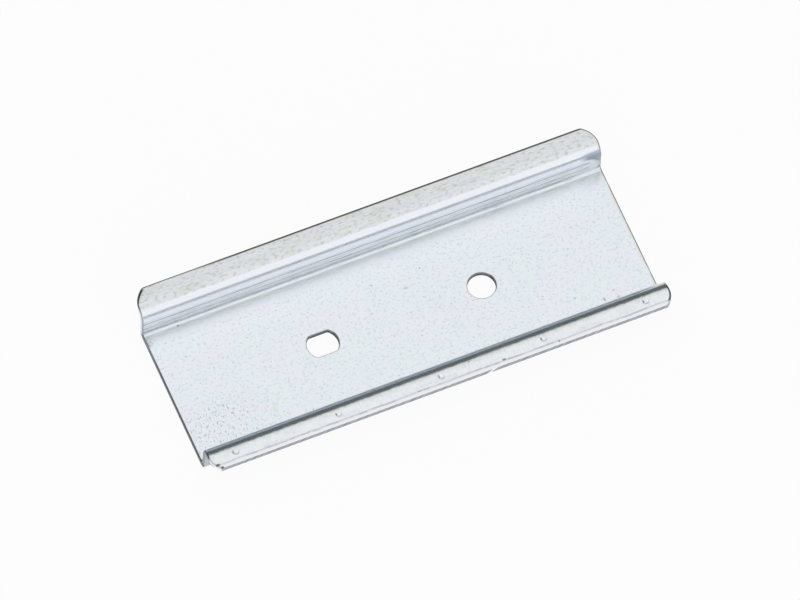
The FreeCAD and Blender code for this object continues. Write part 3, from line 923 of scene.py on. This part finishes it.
# %% [markdown]
# ## Floor, light and camera
#
# The rail lies on a white table that glows a little from below, so its shadow stays
# faint. Metal shows its surroundings, so the surroundings are part of the finish. A card
# behind the rail, bluish low down and greenish near its top, draws the dark band along the
# front bend. A darker card at the right shades the holes and the rims. The camera's angles
# were fitted to the rail's edges in the photograph. It stands far off with a long lens,
# because the rail's parallel edges stay nearly parallel there.

# %% Floor
def flat_panel(name, width, height, centre, normal):
    """A rectangle facing a direction, as a stage object."""
    corners = [(-width / 2, -height / 2, 0), (width / 2, -height / 2, 0),
               (width / 2, height / 2, 0), (-width / 2, height / 2, 0)]
    panel_mesh = bpy.data.meshes.new(name)
    panel_mesh.from_pydata(corners, [], [(0, 1, 2, 3)])
    panel = bpy.data.objects.new(name, panel_mesh)
    panel.location = centre
    panel.rotation_mode = "QUATERNION"
    panel.rotation_quaternion = Vector(normal).to_track_quat("Z", "Y")
    bpy.context.scene.collection.objects.link(panel)
    panel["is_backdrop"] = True
    return panel


def seen_or_mirrored(tree):
    """1 where the camera, a mirror or clear glass looks, 0 where only light is gathered."""
    rays = add_node(tree, "ShaderNodeLightPath").outputs
    seen = rays["Is Camera Ray"]
    for ray in ("Is Glossy Ray", "Is Transmission Ray"):
        seen = add_node(tree, "ShaderNodeMath", {0: seen, 1: rays[ray]}, operation="ADD",
                        use_clamp=True).outputs[0]
    return seen


# The table lies a hair below the rail, because faces in one plane flicker
table_side, table_gap = 3.0, 0.02 * MM
floor = flat_panel("table_top", table_side, table_side, (0, 0, -table_gap), (0, 0, 1))
white = bpy.data.materials.new("white table, lit from below")
white.use_nodes = True
white.cycles.emission_sampling = "NONE"
tree = white.node_tree
tree.nodes.clear()
glow_share = add_node(tree, "ShaderNodeMath", {0: seen_or_mirrored(tree), 1: 0.93},
                      operation="MULTIPLY")
glow = add_node(tree, "ShaderNodeEmission", {"Color": paint("#FFFFFF"), "Strength": 1.0})
matt = add_node(tree, "ShaderNodeBsdfDiffuse", {"Color": paint("#F4F4F4")})
mixed = add_node(tree, "ShaderNodeMixShader", {
    "Fac": glow_share.outputs[0], 1: matt.outputs[0], 2: glow.outputs[0]})
add_node(tree, "ShaderNodeOutputMaterial", {"Surface": mixed.outputs[0]})
floor.data.materials.append(white)
print("floor ready")

# %% Cards and world
def card(name, width, height, centre, normal, low_colour, high_colour):
    """A card that only shows in the metal, shaded evenly from its lower edge to its upper one."""
    panel = flat_panel(name, width, height, centre, normal)
    panel.visible_camera = False
    panel.visible_shadow = False
    panel.visible_diffuse = False
    paper = bpy.data.materials.new(name + ", paper")
    paper.use_nodes = True
    paper.cycles.emission_sampling = "NONE"
    tree = paper.node_tree
    tree.nodes.clear()
    where = add_node(tree, "ShaderNodeNewGeometry").outputs["Position"]
    level = add_node(tree, "ShaderNodeMapRange", {
        "Value": add_node(tree, "ShaderNodeSeparateXYZ", {"Vector": where}).outputs["Z"],
        "From Min": centre[2] - height / 2, "From Max": centre[2] + height / 2})
    shade = add_node(tree, "ShaderNodeMix", {
        0: level.outputs["Result"], 6: paint(low_colour), 7: paint(high_colour)},
        data_type="RGBA").outputs[2]
    glow = add_node(tree, "ShaderNodeEmission", {"Color": shade})
    add_node(tree, "ShaderNodeOutputMaterial", {"Surface": glow.outputs[0]})
    panel.data.materials.append(paper)


card("back_card", 2.4, 0.58, (0.10, 0.52, 0.29), (0, -1, 0), "#647079", "#4A524B")
card("right_card", 1.0, 0.42, (0.60, 0.10, 0.21), (-1, 0, 0), "#4A4C44", "#4A4C44")

world = bpy.data.worlds.new("white studio")
bpy.context.scene.world = world
world.use_nodes = True
world.cycles.sampling_method = "NONE"
tree = world.node_tree
tree.nodes.clear()
strength = add_node(tree, "ShaderNodeMapRange", {
    "Value": seen_or_mirrored(tree), "To Min": 0.5, "To Max": 1.0})
light = add_node(tree, "ShaderNodeBackground", {
    "Color": paint("#FFFFFF"), "Strength": strength.outputs["Result"]})
add_node(tree, "ShaderNodeOutputWorld", {"Surface": light.outputs[0]})
print("cards and world ready")

# %% Soft boxes
def soft_box(name, width, height, centre, radiance):
    """An area lamp aimed at the rail, given by how bright its face looks."""
    lamp = bpy.data.lights.new(name, "AREA")
    lamp.shape = "RECTANGLE"
    lamp.size, lamp.size_y = width, height
    lamp.energy = radiance * math.pi * width * height
    box = bpy.data.objects.new(name, lamp)
    box.location = centre
    box.rotation_mode = "QUATERNION"
    box.rotation_quaternion = Vector(centre).to_track_quat("Z", "Y")
    box.visible_glossy = False
    box.visible_camera = False
    bpy.context.scene.collection.objects.link(box)


soft_box("front_soft_box", 1.6, 0.9, (-0.2, -1.1, 0.55), 1.2)
soft_box("top_soft_box", 1.2, 1.2, (-0.3, 0.2, 1.5), 1.2)
print("lamps ready")

# %% Camera
elevation, bearing, roll = (math.radians(angle) for angle in (62.905, 26.073, -3.447))
focal_pixels, pixels_per_mm = 16274.0, 6.162
rail_middle = (402.1, 317.15)         # where the rail's origin lies in the picture, in pixels
picture = (800, 600)

ahead = Vector((math.sin(bearing) * math.cos(elevation), math.cos(bearing) * math.cos(elevation),
                -math.sin(elevation)))
level_right = Vector((math.cos(bearing), -math.sin(bearing), 0))
level_down = ahead.cross(level_right)
right = level_right * math.cos(roll) + level_down * math.sin(roll)
down = level_down * math.cos(roll) - level_right * math.sin(roll)
distance = focal_pixels / pixels_per_mm
offset = [(rail_middle[n] - picture[n] / 2) / pixels_per_mm for n in (0, 1)]
lens = bpy.data.cameras.new("camera")
lens.sensor_width = 36.0
lens.lens = focal_pixels * lens.sensor_width / picture[0]
lens.clip_start, lens.clip_end = 0.1, 20.0
camera = bpy.data.objects.new("camera", lens)
spot = -(right * offset[0] + down * offset[1] + ahead * distance) * MM
turn = Matrix((right, -down, -ahead)).transposed().to_4x4()
camera.matrix_world = Matrix.Translation(spot) @ turn
bpy.context.scene.collection.objects.link(camera)
bpy.context.scene.camera = camera
bpy.context.scene.view_settings.view_transform = "Standard"
print(f"camera {spot.length:.2f} m away, {lens.lens:.0f} mm lens")

# %% Bounds of the objects shown
low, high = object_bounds()
